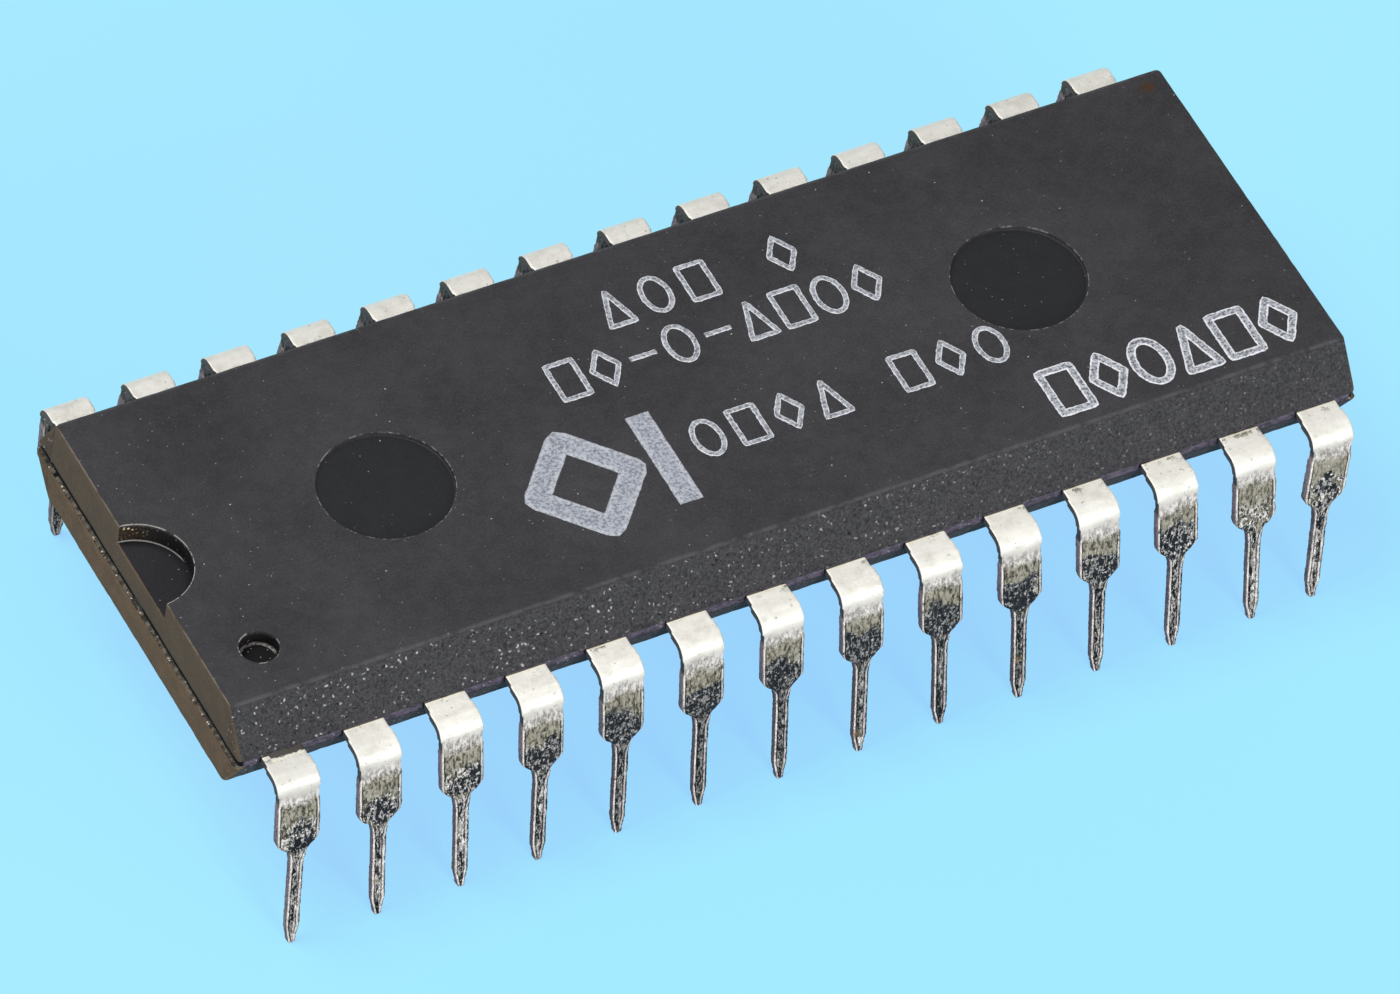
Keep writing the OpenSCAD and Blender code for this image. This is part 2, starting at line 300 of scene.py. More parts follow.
def moulding_finish(look):
    """Grainy charcoal epoxy with glassy specks and painted glints, warm ends with a painted warm reflection,
    smooth ejector marks, and painted shade and highlights in the hollows and along the edges.
    """
    finish = Finish("charcoal_epoxy", specular=0.2)
    g, x, y, z, paint = finish.graph, finish.x, finish.y, finish.z, finish.paint
    broad = finish.noise(0.35, 3.0)
    cloudy = finish.noise(2.2, 4.0, 0.6)
    fine = finish.noise(13.0, 4.0, 0.7)
    tone = broad.ramp(0.3, 0.7) * 0.3 + cloudy.ramp(0.3, 0.7) * 0.25 + fine.ramp(0.35, 0.7) * 0.45
    finish.color = g.mix(tone, (44, 44, 47), (67, 67, 71))
    upper = z.ramp(FRAME_TOP_Z + 0.01, FRAME_TOP_Z + 0.03)
    lower = z.ramp(FRAME_LOW_Z - 0.01, FRAME_LOW_Z - 0.03)
    band = (1 - upper) * (1 - lower)
    ledge = z.ramp(FRAME_LOW_Z - 0.035, FRAME_LOW_Z - 0.015) * (1 - upper)
    # Long sides: paler, with coarser grain.
    slope = abs(y).ramp(HALF_WIDTH - 0.86, HALF_WIDTH - 0.8)
    rough = finish.noise(6.5, 4.0, 0.7)
    side = g.mix(rough.ramp(0.3, 0.7) * 0.35 + fine.ramp(0.3, 0.7) * 0.65, (43, 43, 46), (86, 86, 89))
    paint(slope * 0.85, side)
    # Ends: warm brown-grey, the warmth a painted warm reflection, greyer on the upper half.
    end = abs(x).ramp(HALF_LENGTH - 0.115, HALF_LENGTH - 0.095)
    warm = g.mix(finish.noise(1.6, 4.0, 0.6).ramp(0.3, 0.7), (106, 86, 66), (120, 98, 76))
    warm = g.mix(fine.ramp(0.55, 0.75) * 0.4, warm, (146, 124, 98))
    warm = g.mix(z.ramp(FRAME_TOP_Z - 0.1, FRAME_TOP_Z + 0.05) * 0.55, warm, (80, 74, 66))
    paint(end, warm)
    # Ejector marks: smooth and dark.
    from_mark = g.length(g.join(abs(x) - EJECTOR_X, y, 0.0))
    sunk = z.ramp(TOP_Z - 0.04, TOP_Z - 0.08)
    mark = from_mark.ramp(EJECTOR_RADIUS - 0.01, EJECTOR_RADIUS - 0.06) * sunk
    paint(mark, g.mix(cloudy, (26, 27, 29), (37, 38, 40)))
    # Notch and dimple: walls and floors darkened with painted shade, and rims with painted glints.
    deep = z.ramp(TOP_Z - 0.06, TOP_Z - 0.14) * upper
    from_notch = g.length(g.join(x - NOTCH_X, y, 0.0))
    from_dimple = g.length(g.join(x - DIMPLE_X, y - DIMPLE_Y, 0.0))
    notch = from_notch.ramp(NOTCH_RADIUS + 0.05, NOTCH_RADIUS + 0.03) * (1 - end)
    dimple = from_dimple.ramp(DIMPLE_RADIUS + 0.05, DIMPLE_RADIUS + 0.03)
    sparkle = finish.noise(4.0, 3.0, 0.7)
    floor = z.ramp(TOP_Z - NOTCH_DEPTH + 0.1, TOP_Z - NOTCH_DEPTH + 0.05) * notch
    paint((notch + dimple).clamped() * deep, (24, 23, 25))
    paint(floor, g.mix(fine, (32, 32, 36), (50, 49, 54)))
    wall = notch * deep * (1 - floor)
    # Painted glints on the walls: brown towards the end, pale near its mouth, and scattered over the walls
    # and the dimple.
    brown_glint = wall * x.ramp(-HALF_LENGTH + 1.5, -HALF_LENGTH + 0.2)
    paint(brown_glint * fine.ramp(0.3, 0.6) * 0.7, (62, 48, 32))
    paint(brown_glint * finish.specks(11.0, 0.36, 0.4) * sparkle.ramp(0.4, 0.5), (190, 152, 100))
    mouth = x.ramp(-HALF_LENGTH + 0.7, -HALF_LENGTH + 0.4)
    paint(brown_glint * finish.specks(8.0, 0.4, 0.3) * mouth, (236, 214, 176))
    paint((wall + dimple * deep).clamped() * finish.specks(9.0, 0.24, 0.3), (150, 148, 144))
    # Painted shade darkens the floor into the foot of the wall.
    foot_shade = floor * (from_notch + (fine - 0.5) * 0.3).ramp(NOTCH_RADIUS - 0.3, NOTCH_RADIUS - 0.05)
    paint(foot_shade * 0.7, (20, 19, 21))
    inside = x.ramp(-HALF_LENGTH + 0.05, -HALF_LENGTH + 0.12)
    at_top = z.ramp(TOP_Z - 0.05, TOP_Z - 0.02)
    at_floor = abs(z - TOP_Z + NOTCH_DEPTH - 0.01).ramp(0.04, 0.02)
    notch_edge = abs(from_notch - NOTCH_RADIUS).ramp(0.026, 0.01) * inside
    # Painted highlights along the rims of the notch, dimple and ejector marks, and on an arc at the dimple's
    # floor.
    rim_highlights = notch_edge * at_top * sparkle.ramp(0.4, 0.48) + notch_edge * at_floor * y.ramp(0.1, 0.4)
    dimple_edge = abs(from_dimple - DIMPLE_RADIUS).ramp(0.035, 0.012)
    rim_highlights = rim_highlights + dimple_edge * at_top * sparkle.ramp(0.48, 0.55) * 0.8
    dimple_foot = abs(z - TOP_Z + DIMPLE_DEPTH - 0.01).ramp(0.05, 0.03) * from_dimple.ramp(0.49, 0.52)
    rim_highlights = rim_highlights + dimple_foot * dimple * y.ramp(-4.1, -3.8) * fine.ramp(0.4, 0.5)
    rim_highlights = rim_highlights + abs(from_mark - EJECTOR_RADIUS).ramp(0.03, 0.01) * at_top * sparkle.ramp(0.5, 0.58) * 0.5
    paint(rim_highlights.clamped() * 0.9, (176, 172, 168))
    # A painted highlight along the edges of the top.
    near_end = abs(abs(x) - HALF_LENGTH + 0.09).ramp(0.035, 0.01)
    near_side = abs(abs(y) - HALF_WIDTH + 0.87).ramp(0.12, 0.03)
    high = z.ramp(TOP_Z - 0.07, TOP_Z - 0.03)
    paint(near_side * high * cloudy.ramp(0.3, 0.6) * 0.5, (90, 90, 94))
    paint(near_end * high * cloudy.ramp(0.35, 0.55) * 0.8, (130, 122, 110))
    # The band between the halves and the ledge under it: lilac-grey along the sides, torn at the ends.
    ragged = finish.streaks((5.0, 5.0, 9.0), 4.0, 0.75)
    lilac = g.mix(ragged.ramp(0.35, 0.65), (74, 70, 84), (122, 114, 134))
    torn = g.mix(ragged.ramp(0.4, 0.6), (58, 54, 50), (122, 114, 102))
    torn = g.mix(finish.specks(9.0, 0.36, 0.35), torn, (222, 214, 198))
    torn = g.mix(finish.specks(2.4, 0.28, 0.3), torn, (12, 12, 13))
    # At the ends the band's upper part is painted black: shadow under the upper half's overhang.
    overhang_shadow = (z + (cloudy - 0.5) * 0.1).ramp(FRAME_LOW_Z + 0.035, FRAME_LOW_Z + 0.055)
    torn = g.mix(overhang_shadow, torn, (12, 11, 10))
    at_end = abs(x).ramp(HALF_LENGTH - 0.24, HALF_LENGTH - 0.16)
    paint((band + ledge * at_end).clamped(), g.mix(at_end, lilac, torn))
    # A painted highlight along the lower half's edge under the band, at the ends.
    lip = abs(z - FRAME_LOW_Z + 0.035).ramp(0.03, 0.015) * at_end * ragged.ramp(0.4, 0.5)
    paint(lip * 0.7, (140, 122, 100))
    # A small brown stain near the far corner.
    stain = (g.length(g.join(x - STAIN_X, y - STAIN_Y, 0.0)) + (cloudy - 0.5) * 0.2).ramp(0.32, 0.05)
    paint(stain * 0.85, (70, 48, 26))
    # Filler specks with painted glints, and small holes darkened with painted shade, dense on the sides; the
    # top has few specks and no holes.
    specks_and_glints = finish.specks(3.0, 0.075, 0.22) + finish.specks(7.0, 0.12, 0.12)
    specks_and_glints = specks_and_glints + finish.specks(4.2, 0.11, 0.3) * x.ramp(-9.0, -16.0) * (1 - end)
    bent = finish.warped(7.0, 0.22)
    side_mark_share = slope * (x.ramp(14.0, -10.0) * 0.75 + 0.25)
    side_specks_and_glints = g.specks(bent, 7.0, 0.34, 0.3) * cloudy.ramp(0.35, 0.55) + g.specks(bent, 4.2, 0.2, 0.34)
    specks_and_glints = (specks_and_glints * (1 - end * 0.5) * 0.6 + side_specks_and_glints * side_mark_share).clamped()
    paint(specks_and_glints, g.mix(sparkle, (120, 120, 124), (228, 228, 232)))
    hole = ((g.specks(bent, 4.0, 0.2, 0.25) + g.specks(bent, 6.5, 0.26, 0.2)) * side_mark_share).clamped()
    paint(hole * 0.85, (20, 20, 22))
    finish.set("Base Color", finish.color)
    finish.set("Roughness", 0.78 - mark * 0.25 - fine.ramp(0.5, 0.8) * 0.15)
    relief = rough * (1 + slope * 2.5) * (1 - mark * 0.9) + fine * 0.6 - hole * 2 + band * ragged * 3
    finish.bump(relief, look.grain_depth)
    return finish.material


def tin_finish(look):
    """Satin tin on the bend, stippled olive solder with dark smooth patches of painted reflection, and
    streaky pins with painted highlights and reflections.
    """
    finish = Finish("tinned_lead", specular=0.12)
    g, x, y, z, paint = finish.graph, finish.x, finish.y, finish.z, finish.paint
    across = finish.stored("across")
    edge = finish.stored("half_width") - abs(across)
    nearness = abs(y) - HALF_WIDTH
    wobble = finish.noise(1.1, 3.0) - 0.5
    fine = finish.noise(14.0, 4.0, 0.7)
    coarse = finish.noise(5.5, 4.0, 0.7)
    upright = finish.streaks((11.0, 11.0, 4.0), 4.0, 0.7)
    # Bare tin: warm white with a soft grain across the bend, and a few pits.
    grain = finish.streaks((1.6, 5.0, 5.0), 3.0, 0.6)
    finish.color = g.mix(grain.ramp(0.25, 0.75) * 0.5 + fine * 0.5, (230, 228, 219), (250, 249, 243))
    smear = finish.noise(1.9, 4.0, 0.65)
    paint(smear.ramp(0.45, 0.75) * 0.45, (200, 197, 186))
    bent = finish.warped(5.0, 0.2)
    flaws = g.specks(bent, 3.4, 0.2, 0.3) + g.specks(bent, 7.0, 0.25, 0.12)
    paint(flaws.clamped() * 0.45, (138, 134, 118))
    paint(x.ramp(-13.0, -16.0) * y.ramp(0.0, -1.0) * 0.35, (196, 196, 192))
    pits = finish.specks(5.5, 0.17, 0.12) * coarse.ramp(0.42, 0.6)
    paint(pits * 0.85, (92, 90, 80))
    # The bend turns away from the light above and greys before the dip begins.
    paint((z + wobble * 0.3).ramp(FRAME_TOP_Z - 0.22, FRAME_TOP_Z - 0.62) * 0.6, (168, 165, 160))
    # Residue of the moulding where the flat leaves the body.
    residue = nearness.ramp(0.42, 0.05) * finish.noise(1.7, 4.0, 0.7).ramp(0.55, 0.62) * z.ramp(5.9, 6.0)
    paint(residue * fine.ramp(0.35, 0.5) * 0.9, (84, 74, 52))
    # Lead 1's flat leaves the body further out, over a dark gap of painted shade and a pale ledge.
    first = x.ramp(-15.4, -15.6) * x.ramp(-16.95, -16.9)
    gap_shade = (nearness - first * 0.16 + (coarse - 0.5) * 0.3 * first).ramp(0.04, 0.02) * y.ramp(0.0, -1.0)
    paint(gap_shade * 0.9, (40, 34, 28))
    ledge = abs(nearness - first * 0.2 - 0.06).ramp(0.035, 0.02) * fine.ramp(0.4, 0.5)
    paint(ledge * 0.8, (244, 238, 214))
    # The edge of the dip is stippled: pale grey first, then olive.
    height = z + wobble * 0.7
    stipple = (height + (fine - 0.5) * 0.9).ramp(FRAME_TOP_Z - 0.42, FRAME_TOP_Z - 0.72)
    stippled = g.mix(upright.ramp(0.4, 0.6), (146, 144, 141), (228, 225, 221))
    paint(stipple, stippled)
    dipped = (height + (fine - 0.5) * 0.6).ramp(FRAME_TOP_Z - 0.75, FRAME_TOP_Z - 1.05)
    last = x.ramp(15.0, 15.6) * y.ramp(0.0, -1.0)
    # The olive's darker tone is partly a painted reflection of the darker surroundings in front of the legs.
    olive = g.mix(upright.ramp(0.38, 0.6) * (1 - last * 0.3) + last * 0.3, (60, 58, 47), (168, 165, 150))
    olive = g.mix(coarse.ramp(0.5, 0.65) * 0.4, olive, (112, 108, 82))
    paint(dipped, olive)
    # Smooth dark patches with stepped edges near the end of the wide leg: painted reflections of the dark
    # surroundings in the smooth solder.
    blocks = g.noise(g.vector("SNAP", finish.place, (0.15, 0.15, 0.17)), 1.25, 1.5, 0.5)
    patch_zone = (z + wobble * 1.2).ramp(FRAME_TOP_Z - 1.3, FRAME_TOP_Z - 2.2)
    pin = z.ramp(PIN_Z, PIN_Z - 0.3)
    lead_own = g.noise(g.join(x * 0.31, 3.0, y * 0.01), 1.0, 1.0) - 0.5
    mid_row = x.ramp(-10.5, -7.0) * x.ramp(11.0, 7.0)
    row_ends = (x.ramp(-10.0, -12.0) + x.ramp(12.5, 14.0)).clamped()
    dark_share = patch_zone * 0.3 + edge.ramp(0.1, 0.35) * 0.1 + lead_own * 0.2
    dark_share = dark_share + mid_row * 0.08 - row_ends * 0.13
    dark_reflection = (blocks + dark_share).ramp(0.7, 0.72) * patch_zone.ramp(0.02, 0.2) * (1 - pin)
    paint(dark_reflection * 0.96, g.mix(coarse.ramp(0.4, 0.6), (14, 15, 22), (40, 42, 54)))
    # The pins: mottled dark solder, its darkness and its dark middle painted reflections of the dark
    # surroundings, with pale facets and bright runs that are painted highlights.
    streak = finish.streaks((9.0, 9.0, 1.1), 4.0, 0.7)
    shift = across + (finish.streaks((0.9, 0.9, 0.9), 2.0) - 0.5) * 0.5
    middle = abs(shift + 0.06).ramp(0.09, 0.045)
    facet = g.cells(finish.stretched(6.0, 6.0, 2.6), 1.0)[1]
    mottled = g.mix(streak.ramp(0.4, 0.6), (12, 13, 18), (86, 86, 92))
    pale_share = z.ramp(1.7, 0.6) * 0.3 + row_ends * 0.6 + lead_own * 0.5 - mid_row * 0.26 + 0.1
    pale = (facet + pale_share + (upright - 0.5) * 0.4).ramp(0.98, 1.02)
    mottled = g.mix(pale, mottled, g.mix(upright.ramp(0.4, 0.6), (150, 149, 146), (252, 250, 246)))
    run = abs(finish.streaks((4.6, 4.6, 0.8), 2.0) - 0.5).ramp(0.045, 0.025)
    mottled = g.mix(run * upright.ramp(0.36, 0.46) * (1 - mid_row * 0.5), mottled, (252, 250, 246))
    pin_color = g.mix((middle * streak.ramp(0.38, 0.5)).clamped(), mottled, (12, 13, 18))
    paint(pin, pin_color)
    # Dark and bright veins where the solder ran: the bright ones are painted highlights and the dark ones
    # painted reflections of the dark surroundings.
    run_place = g.vector("ADD", finish.stretched(6.5, 6.5, 2.6), (4.0, 8.0, 1.0))
    vein_zone = patch_zone.ramp(0.0, 0.5) * dipped
    dark_reflection_vein = abs(g.noise(run_place, 1.0, 3.0, 0.6) - 0.5).ramp(0.05, 0.025) * vein_zone
    paint(dark_reflection_vein * 0.65, (26, 26, 32))
    highlight_vein = abs(finish.streaks((5.5, 5.5, 2.0), 3.0, 0.6) - 0.5).ramp(0.05, 0.02) * vein_zone
    quiet = 1 - mid_row * 0.45
    bright_share = coarse.ramp(0.4, 0.5) * (0.88 - dark_reflection * 0.42 - pin * 0.4) * quiet
    paint(highlight_vein * bright_share, (254, 254, 250))
    # Painted glints on raised solder, and painted highlights as pale lines just inside the edges of the coat,
    # with dark lines of painted reflection beside them.
    glint = g.specks(bent, 6.5, 0.4, 0.4) + g.specks(bent, 9.0, 0.42, 0.4) * 0.8
    spread = (dark_reflection * 0.6 + pin * 0.2 + coarse.ramp(0.4, 0.55) * 0.4) * quiet
    paint((glint * dipped * spread).clamped(), (255, 255, 252))
    right = across.ramp(0.0, 0.05)
    rim = edge - right * 0.045
    line = rim.ramp(0.07, 0.05) * rim.ramp(0.008, 0.02) * dipped
    dark_line = (rim.ramp(0.115, 0.1) * rim.ramp(0.065, 0.08) + rim.ramp(0.0, -0.012) * right) * dipped
    paint(dark_line.clamped() * coarse.ramp(0.36, 0.46) * 0.85, (24, 24, 32))
    paint(line * upright.ramp(0.34, 0.46) * (1 - right * 0.35) * 0.95, (252, 248, 242))
    # A little yellow flux is left on some pins.
    flux = finish.noise(0.8, 2.0).ramp(0.66, 0.74) * pin * across.ramp(0.1, 0.0)
    paint(flux * 0.45, (172, 146, 84))
    # Sheared sides of the sheet, dark above the dip and pale in its coat.
    normal = g.add("ShaderNodeNewGeometry").out("Normal")
    side = abs(g.split(normal)[0]).ramp(0.6, 0.85)
    bare_side = g.mix(y.ramp(0.0, 1.0), (32, 34, 48), (58, 48, 38))
    paint(side * (1 - dipped) * 0.92, bare_side)
    paint(side * dipped * (upright.ramp(0.3, 0.5) * 0.5 + 0.35), (136, 127, 144))
    finish.set("Base Color", finish.color)
    bare = (1 - stipple) * (1 - side) * z.ramp(FRAME_TOP_Z - 0.5, FRAME_TOP_Z - 0.1)
    finish.set("Metallic", (bare * 0.45).clamped())
    finish.set("Roughness", (0.48 + fine * 0.12 + dipped * 0.1 - dark_reflection * 0.1).clamped())
    relief = grain * 0.1 + fine * (1 - dark_reflection) * 0.5 + upright * dipped * 1.2 - pits * 0.8
    relief = relief + glint * dipped * 1.2 + highlight_vein * 1.2 - dark_reflection_vein + (pale + run) * pin
    finish.bump(relief + streak * pin * 1.2, look.dent_depth)
    return finish.material


def ink_finish(name, rim_share, inner_dark, inner_light):
    """Pale print with a speckled middle and, by its share, a bright rim."""
    finish = Finish(name, specular=0.3)
    g = finish.graph
    speck = finish.noise(11.0, 4.0, 0.75)
    rim = finish.stored("rim")
    inner = g.mix(speck.ramp(0.36, 0.6), inner_dark, inner_light)
    outer = g.mix(speck.ramp(0.3, 0.45), (130, 132, 138), (224, 226, 232))
    finish.set("Base Color", g.mix((rim + (speck - 0.5) * 0.5).ramp(0.5, 0.8) * rim_share, inner, outer))
    finish.set("Roughness", 0.6 + speck * 0.25)
    finish.bump(speck, 0.02)
    return finish.material


def plain_finish(name, first, second, scale, roughness, metallic=0.0):
    """Two colours mixed by noise, dulled where a cut end meets the air at the body's ends."""
    finish = Finish(name)
    cloud = finish.noise(scale, 3.0)
    cut_end = abs(finish.x).ramp(HALF_LENGTH - 0.12, HALF_LENGTH - 0.08)
    bright = finish.graph.mix(cloud, first, second)
    finish.set("Base Color", finish.graph.mix(cut_end, bright, (52, 46, 40)))
    finish.set("Metallic", metallic * (1 - cut_end))
    finish.set("Roughness", roughness + cloud * 0.1 + cut_end * 0.45)
    finish.bump(cloud, 0.01)
    return finish.material


def floor_finish(look):
    """Pale blue floor, whose shade stays blue and whose light on the part is neutral."""
    finish = Finish("pale_floor", specular=0.0)
    g = finish.graph
    path = g.add("ShaderNodeLightPath")
    seen = (path.out("Is Camera Ray") + path.out("Is Glossy Ray") + path.out("Is Transmission Ray")).clamped()
    cloud = finish.noise(0.03, 2.0)
    shade = g.mix(cloud.ramp(0.3, 0.7), (*look.floor_shade, 1.0), (*look.floor_drift, 1.0))
    finish.set("Base Color", g.mix(seen, (178, 180, 184), (*look.floor_lit, 1.0)))
    finish.set("Emission Color", g.mix(seen, (0.0, 0.0, 0.0, 1.0), shade))
    finish.set("Emission Strength", 1.0)
    finish.set("Roughness", 0.95)
    return finish.material


def new_object(name, mesh):
    """A new object in the scene that carries the given mesh, curve, lamp or camera."""
    obj = bpy.data.objects.new(name, mesh)
    bpy.context.scene.collection.objects.link(obj)
    return obj


def mesh_data(name, mesh):
    """Mesh data made from a BMesh, which is freed."""
    data = bpy.data.meshes.new(name)
    mesh.to_mesh(data)
    mesh.free()
    return data


def bake_piece(obj, name, material):
    """The evaluated object as a plain mesh in metres, at the origin, in place of the working one."""
    graph = bpy.context.evaluated_depsgraph_get()
    mesh = bpy.data.meshes.new_from_object(obj.evaluated_get(graph))
    bpy.data.objects.remove(obj)
    mesh.name = name
    mesh.transform(Matrix.Scale(1 / MM, 4))
    mesh.materials.clear()
    mesh.materials.append(material)
    for face in mesh.polygons:
        face.material_index = 0
    return new_object(name, mesh)


def finish_piece(piece, slot, *nodes):
    """Every piece rides on the one body, and the CAD nodes it stands for, if any, are hidden; the slot is not
    used.
    """
    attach(piece, "root")
    if nodes:
        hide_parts(*nodes)


def nodes_modifier(obj, tree, values):
    """Adds a Geometry Nodes modifier and sets its inputs by their identifiers."""
    modifier = obj.modifiers.new(tree.name, "NODES")
    modifier.node_group = tree
    for item in tree.interface.items_tree:
        if item.item_type == "SOCKET" and item.in_out == "INPUT" and item.name in values:
            modifier[item.identifier] = values[item.name]
    return modifier


def new_tree(name, values):
    """An empty Geometry Nodes tree with a geometry in and out, named values and a material."""
    tree = bpy.data.node_groups.new(name, "GeometryNodeTree")
    tree.interface.new_socket("Geometry", in_out="INPUT", socket_type="NodeSocketGeometry")
    for label, value in values.items():
        tree.interface.new_socket(label, in_out="INPUT", socket_type="NodeSocketFloat").default_value = value
    tree.interface.new_socket("Material", in_out="INPUT", socket_type="NodeSocketMaterial")
    tree.interface.new_socket("Geometry", in_out="OUTPUT", socket_type="NodeSocketGeometry")
    graph = Graph(tree)
    source = graph.add("NodeGroupInput")
    target = graph.add("NodeGroupOutput")
    return tree, graph, source, target


def close_tree(graph, source, target, geometry):
    """Realize Instances and Set Material end every tree."""
    realized = graph.add("GeometryNodeRealizeInstances", None, {0: geometry}).out()
    dressed = graph.add("GeometryNodeSetMaterial", None, {
        "Geometry": realized, "Material": source.out("Material")}).out()
    graph.feed(target.node.inputs[0], dressed)


def ring_points(half_x, half_y, radius):
    """Points round a rectangle with round corners, anticlockwise, the same number at every level."""
    # Each corner's sides in x and y, and the steps of the straight run before it.
    corners = ((1, 1, 90), (-1, 1, 220), (-1, -1, 90), (1, -1, 220))
    points = []
    for quarter, (side_x, side_y, _) in enumerate(corners):
        centre = Vector((side_x * (half_x - radius), side_y * (half_y - radius)))
        for step in range(5):
            angle = math.pi / 2 * (quarter + step / 4)
            points.append(centre + radius * Vector((math.cos(angle), math.sin(angle))))
        after_x, after_y, run_steps = corners[(quarter + 1) % 4]
        turn = math.pi / 2 * (quarter + 1)
        run_end = Vector((after_x * (half_x - radius), after_y * (half_y - radius)))
        run_end += radius * Vector((math.cos(turn), math.sin(turn)))
        run_start = points[-1]
        for step in range(1, run_steps):
            points.append(run_start.lerp(run_end, step / run_steps))
    return points


def moulded_block(look):
    """The two drafted halves and the band between them as one closed mesh, in mm, with worn edges."""
    soft = look.edge_radius
    # Height, inset from the drafted face and raggedness of each level, from the bottom up.
    levels = [
        (BOTTOM_Z, soft, 0.0), (BOTTOM_Z + soft * 0.3, soft * 0.3, 1.0), (BOTTOM_Z + soft, 0.0, 0.6),
        (BOTTOM_Z + 0.3, 0.0, 0.1), (FRAME_LOW_Z - 0.15, 0.0, 0.1), (FRAME_LOW_Z - 0.03, 0.0, 0.5),
        (FRAME_LOW_Z, 0.02, 0.6), (FRAME_LOW_Z + 0.01, BAND_STEP * 0.8, 0.4),
        (FRAME_LOW_Z + 0.12, BAND_STEP, 0.4), (FRAME_TOP_Z - 0.01, BAND_STEP, 0.2),
        (FRAME_TOP_Z, 0.01, 0.5), (FRAME_TOP_Z + 0.03, 0.0, 0.4),
        (FRAME_TOP_Z + 0.15, 0.0, 0.1), (TOP_Z - 0.3, 0.0, 0.1), (TOP_Z - soft, 0.0, 0.25),
        (TOP_Z - soft * 0.3, soft * 0.3, 0.4), (TOP_Z, soft, 0.1),
    ]
    mesh = bmesh.new()
    rings = []
    for z, inset, ragged in levels:
        away = max(z - FRAME_TOP_Z, FRAME_LOW_Z - z, 0.0)
        half_x = HALF_LENGTH - away * math.tan(END_DRAFT) - inset
        half_y = HALF_WIDTH - away * math.tan(SIDE_DRAFT) - inset
        ring = []
        for point in ring_points(half_x, half_y, look.corner_radius):
            place = Vector((point.x, point.y, z))
            fray = noise.noise(place * 1.7) + 0.7 * noise.noise(place * 5.1)
            chip = max(0.0, noise.noise(place * 2.3 + Vector((9.0, 4.0, 2.0))) - 0.35) * 2.5
            shrink = 1 - ragged * look.fraying * max(0.0, 0.5 + fray * 0.5 + chip) / HALF_WIDTH
            along = point.x * (1 - (1 - shrink) * HALF_WIDTH / HALF_LENGTH)
            if z <= FRAME_LOW_Z:
                along *= 1 + look.lower_reach / HALF_LENGTH
            ring.append(mesh.verts.new((along, point.y * shrink, z)))
        rings.append(ring)
    for low, high in zip(rings, rings[1:]):
        for i in range(len(low)):
            j = (i + 1) % len(low)
            mesh.faces.new((low[i], low[j], high[j], high[i]))
    mesh.faces.new(list(reversed(rings[0])))
    mesh.faces.new(rings[-1])
    return mesh


def cylinder_tool(name, x, y, z_low, z_high, radius, segments):
    """A closed cylinder used to cut the body, in mm."""
    mesh = bmesh.new()
    place = Matrix.Translation((x, y, (z_low + z_high) / 2))
    bmesh.ops.create_cone(mesh, cap_ends=True, segments=segments, radius1=radius, radius2=radius,
                          depth=z_high - z_low, matrix=place)
    return new_object(name, mesh_data(name, mesh))


def cut_body(obj, tools):
    """Takes each tool's shape out of the object."""
    for tool in tools:
        modifier = obj.modifiers.new(tool.name, "BOOLEAN")
        modifier.operation = "DIFFERENCE"
        modifier.solver = "EXACT"
        modifier.object = tool


def size_mm(name, description, default, low=0.0, high=2.0):
    """A size in millimetres for the panel."""
    return FloatProperty(name=name, description=description + ", in mm", default=default, min=low, max=high)


def angle(name, description, degrees):
    """An angle for the panel."""
    return FloatProperty(name=name, description=description, default=math.radians(degrees), subtype="ANGLE")


class ChipBodyLook(PropertyGroup):
    edge_radius: size_mm("Edge radius", "Rounding of the moulding's edges", 0.06, 0.01, 0.2)
    corner_radius: size_mm("Corner radius", "Rounding of the upright corners", 0.14, 0.02, 0.4)
    lower_reach: size_mm("Lower reach", "How far the lower half's ends stand out past the upper half's",
                          0.07, 0.0, 0.15)
    fraying: size_mm("Fraying", "Depth of the chips along the edges", 0.05, 0.0, 0.1)
    grain_depth: size_mm("Grain depth", "Depth of the epoxy's grain", 0.03, 0.0, 0.2)
    dust_density: FloatProperty(name="Dust density", description="Specks of dust on each square mm",
                                default=0.12, min=0.0, max=2.0)


class ChipLeadLook(PropertyGroup):
    voxel: size_mm("Mesh size", "Size of the lead mesh's faces", 0.036, 0.03, 0.1)
    coat: size_mm("Solder coat", "Mean thickness of the dipped coat", 0.03, 0.0, 0.05)
    lumps: size_mm("Lumps", "Height of the coat's lumps", 0.045, 0.0, 0.1)
    dent_depth: size_mm("Dent depth", "Depth of the tin's fine dents", 0.02, 0.0, 0.1)


class ChipPrintLook(PropertyGroup):
    fine_stroke: size_mm("Fine stroke", "Width of the fine lines", 0.17)
    heavy_stroke: size_mm("Heavy stroke", "Width of the heavy lines", 0.27)
    bold_stroke: size_mm("Bold stroke", "Width of the bold shapes' lines", 0.75)
    ink_height: size_mm("Ink height", "How far the ink stands up", 0.012)


